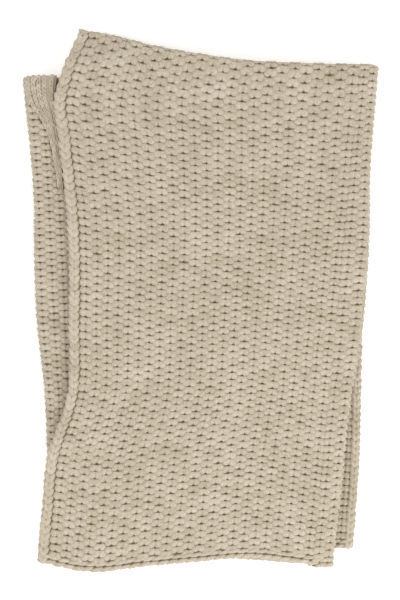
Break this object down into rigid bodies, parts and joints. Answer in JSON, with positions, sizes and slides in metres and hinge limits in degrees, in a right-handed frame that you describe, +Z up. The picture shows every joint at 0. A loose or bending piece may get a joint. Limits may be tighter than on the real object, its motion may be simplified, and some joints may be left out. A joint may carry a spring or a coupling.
{
  "type": "folded throw blanket",
  "caption": "Chunky-knit cream throw blanket folded in half and then in thirds, lying flat, with rolled selvedges, knitted hems and two side folds that open.",
  "frame": {"origin": "centre of the box, at the bottom, on the surface the throw lies on", "axes": "+Y along the folded throw towards its half fold, +X towards the right side fold, +Z up"},
  "size_m": [0.5122, 0.7798, 0.05],
  "materials": {
    "cream_knit": "chunky knitted cream yarn, matt and soft",
    "rolled_selvedge": "rolled knitted edge in the same cream yarn",
    "knitted_hem": "rope-like knitted hem in the same cream yarn"
  },
  "bodies": {
    "back_leaf": {"back_inner_hem": "knitted_hem", "back_inner_panel": "cream_knit", "back_inner_selvedge": "rolled_selvedge", "back_outer_hem": "knitted_hem", "back_outer_panel": "cream_knit", "back_outer_selvedge": "rolled_selvedge", "back_top_fold": "cream_knit", "left_fold_inner": "cream_knit", "left_fold_outer": "cream_knit", "left_corner_turn": "cream_knit"},
    "middle_leaf": {"middle_inner_hem": "knitted_hem", "middle_inner_panel": "cream_knit", "middle_outer_hem": "knitted_hem", "middle_outer_panel": "cream_knit", "middle_top_fold": "cream_knit", "right_fold_inner": "cream_knit", "right_fold_outer": "cream_knit", "right_corner_turn": "cream_knit"},
    "front_leaf": {"front_inner_hem": "knitted_hem", "front_inner_panel": "cream_knit", "front_inner_selvedge": "rolled_selvedge", "front_outer_hem": "knitted_hem", "front_outer_panel": "cream_knit", "front_outer_selvedge": "rolled_selvedge", "front_top_fold": "cream_knit"}
  },
  "joints": [
    {"name": "left_fold", "type": "hinge", "parent": "back_leaf", "child": "middle_leaf", "pos_m": [-0.21986, 0.0005, 0.0166], "axis": [0.0503, -0.9987, 0], "range_deg": [0, 179.9], "deforming": ["left_fold_inner", "left_fold_outer", "left_corner_turn"]},
    {"name": "right_fold", "type": "hinge", "parent": "middle_leaf", "child": "front_leaf", "pos_m": [0.21413, 0.0005, 0.0334], "axis": [0.0946, 0.9955, 0], "range_deg": [0, 179.9], "deforming": ["right_fold_inner", "right_fold_outer", "right_corner_turn"]}
  ]
}
